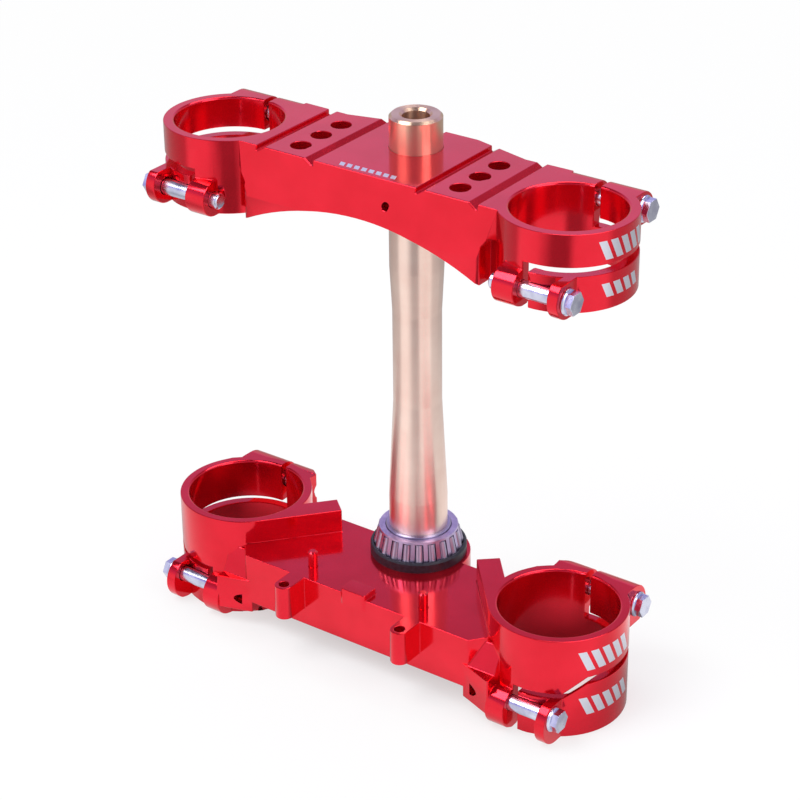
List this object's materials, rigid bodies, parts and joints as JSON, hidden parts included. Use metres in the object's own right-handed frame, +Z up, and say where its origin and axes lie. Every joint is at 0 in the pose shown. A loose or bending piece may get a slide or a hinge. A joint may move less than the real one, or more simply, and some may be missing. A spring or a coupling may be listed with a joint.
{
  "type": "motorcycle triple clamp",
  "caption": "Motorcycle triple clamp set: upper and lower fork clamps with opposed pinch bolts on a hollow steering stem with its lower taper bearing.",
  "frame": {"origin": "centre of the steering stem's foot, in the plane of the stem flange's underside", "axes": "+Z up along the steering stem, +Y to the rear of the motorcycle, +X to the right of the picture"},
  "size_m": [0.266, 0.0993, 0.282],
  "materials": {
    "red_anodised": "polished red anodised",
    "pin_red": "red anodised",
    "bronze_anodised": "turned, bronze anodised",
    "bolt_steel": "zinc plated",
    "bearing_steel": "ground",
    "cage_steel": "pressed sheet",
    "seal_rubber": "moulded"
  },
  "bodies": {
    "clamps": {"lower_clamp": "red_anodised", "upper_clamp": "red_anodised", "steering_stem": "bronze_anodised", "bearing_dust_seal": "seal_rubber", "bearing_inner_race": "bearing_steel", "upper_front_bolt_left": "bolt_steel", "upper_front_bolt_right": "bolt_steel", "upper_rear_bolt_left": "bolt_steel", "upper_rear_bolt_right": "bolt_steel", "lower_front_bolt_left": "bolt_steel", "lower_front_bolt_right": "bolt_steel", "lower_rear_bolt_left": "bolt_steel", "lower_rear_bolt_right": "bolt_steel", "stem_pinch_bolt": "bolt_steel", "guide_pin_left": "pin_red", "guide_pin_right": "pin_red"},
    "bearing_cage": {"bearing_cage": "cage_steel", "bearing_roller_01": "bearing_steel", "bearing_roller_02": "bearing_steel", "bearing_roller_03": "bearing_steel", "bearing_roller_04": "bearing_steel", "bearing_roller_05": "bearing_steel", "bearing_roller_06": "bearing_steel", "bearing_roller_07": "bearing_steel", "bearing_roller_08": "bearing_steel", "bearing_roller_09": "bearing_steel", "bearing_roller_10": "bearing_steel", "bearing_roller_11": "bearing_steel", "bearing_roller_12": "bearing_steel", "bearing_roller_13": "bearing_steel", "bearing_roller_14": "bearing_steel", "bearing_roller_15": "bearing_steel", "bearing_roller_16": "bearing_steel", "bearing_roller_17": "bearing_steel", "bearing_roller_18": "bearing_steel", "bearing_roller_19": "bearing_steel", "bearing_roller_20": "bearing_steel"}
  },
  "joints": [
    {"name": "cage_turn", "type": "hinge", "parent": "clamps", "child": "bearing_cage", "pos_m": [0, 0, 0.038], "axis": [0, 0, 1], "continuous": true}
  ]
}
